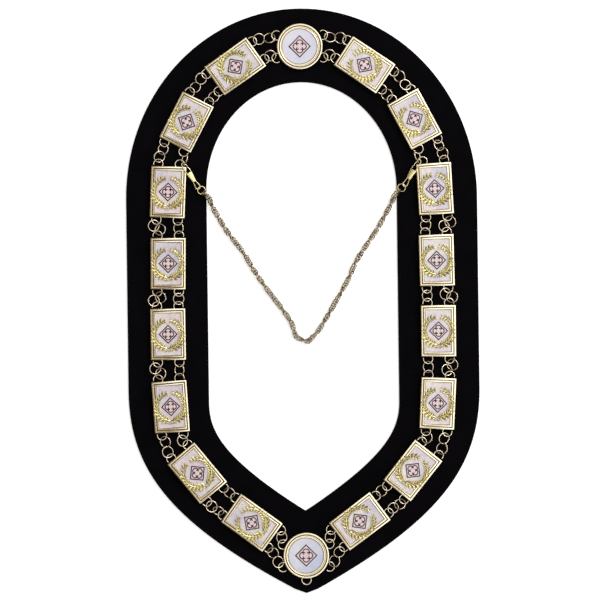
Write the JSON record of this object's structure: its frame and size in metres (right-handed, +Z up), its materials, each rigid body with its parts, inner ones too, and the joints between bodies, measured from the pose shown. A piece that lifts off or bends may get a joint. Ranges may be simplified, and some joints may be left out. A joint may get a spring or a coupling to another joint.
{
  "type": "chain of office",
  "caption": "Ceremonial collar: oblong enamelled gilt plaques and two round medallions joined by wire rings on a pointed black velvet backing, with a safety chain.",
  "frame": {"origin": "on the table under the middle of the collar, at the centre of its overall width and length", "axes": "+Y from the collar's pointed foot to its round top, +Z up out of the velvet's face, +X to the right as seen from above with the foot nearest"},
  "size_m": [0.3868, 0.644, 0.0148],
  "materials": {
    "velvet": "cotton velvet, cut pile",
    "gilt_plate": "cast, gold plated, polished",
    "ring_gilt": "round wire, gold plated, polished",
    "snap_hook_gilt": "gold plated, polished",
    "spring_gilt": "hard spring wire, gold plated",
    "chain_gilt": "fine twisted links, worn plating"
  },
  "bodies": {
    "collar": {"velvet_backing": "velvet", "medallion_bottom": "gilt_plate", "medallion_top": "gilt_plate", "plaque_left_1": "gilt_plate", "plaque_left_2": "gilt_plate", "plaque_left_3": "gilt_plate", "plaque_left_4": "gilt_plate", "plaque_left_5": "gilt_plate", "plaque_left_6": "gilt_plate", "plaque_left_7": "gilt_plate", "plaque_left_8": "gilt_plate", "plaque_right_1": "gilt_plate", "plaque_right_2": "gilt_plate", "plaque_right_3": "gilt_plate", "plaque_right_4": "gilt_plate", "plaque_right_5": "gilt_plate", "plaque_right_6": "gilt_plate", "plaque_right_7": "gilt_plate", "plaque_right_8": "gilt_plate", "ring_inner_left_1": "ring_gilt", "ring_inner_left_2": "ring_gilt", "ring_inner_left_3": "ring_gilt", "ring_inner_left_4": "ring_gilt", "ring_inner_left_5": "ring_gilt", "ring_inner_left_6": "ring_gilt", "ring_inner_left_7": "ring_gilt", "ring_inner_left_8": "ring_gilt", "ring_inner_left_9": "ring_gilt", "ring_inner_right_1": "ring_gilt", "ring_inner_right_2": "ring_gilt", "ring_inner_right_3": "ring_gilt", "ring_inner_right_4": "ring_gilt", "ring_inner_right_5": "ring_gilt", "ring_inner_right_6": "ring_gilt", "ring_inner_right_7": "ring_gilt", "ring_inner_right_8": "ring_gilt", "ring_inner_right_9": "ring_gilt", "rings_outer_left_1": "ring_gilt", "rings_outer_left_2": "ring_gilt", "rings_outer_left_3": "ring_gilt", "rings_outer_left_4": "ring_gilt", "rings_outer_left_5": "ring_gilt", "rings_outer_left_6": "ring_gilt", "rings_outer_left_7": "ring_gilt", "rings_outer_left_8": "ring_gilt", "rings_outer_left_9": "ring_gilt", "rings_outer_right_1": "ring_gilt", "rings_outer_right_2": "ring_gilt", "rings_outer_right_3": "ring_gilt", "rings_outer_right_4": "ring_gilt", "rings_outer_right_5": "ring_gilt", "rings_outer_right_6": "ring_gilt", "rings_outer_right_7": "ring_gilt", "rings_outer_right_8": "ring_gilt", "rings_outer_right_9": "ring_gilt", "snap_hook_left": "snap_hook_gilt", "snap_hook_right": "snap_hook_gilt", "safety_chain": "chain_gilt"},
    "gate_left": {"gate_left": "spring_gilt"},
    "gate_right": {"gate_right": "spring_gilt"}
  },
  "joints": [
    {"name": "gate_left_hinge", "type": "hinge", "parent": "collar", "child": "gate_left", "pos_m": [-0.12113, 0.14372, 0.00848], "axis": [0.0672, -0.1119, 0.9914], "range_deg": [0, 15], "stiffness_Nm_per_rad": 0.01, "springref_deg": -5.73},
    {"name": "gate_right_hinge", "type": "hinge", "parent": "collar", "child": "gate_right", "pos_m": [0.12113, 0.14372, 0.00848], "axis": [0.0672, 0.1119, -0.9914], "range_deg": [0, 15], "stiffness_Nm_per_rad": 0.01, "springref_deg": -5.73}
  ]
}
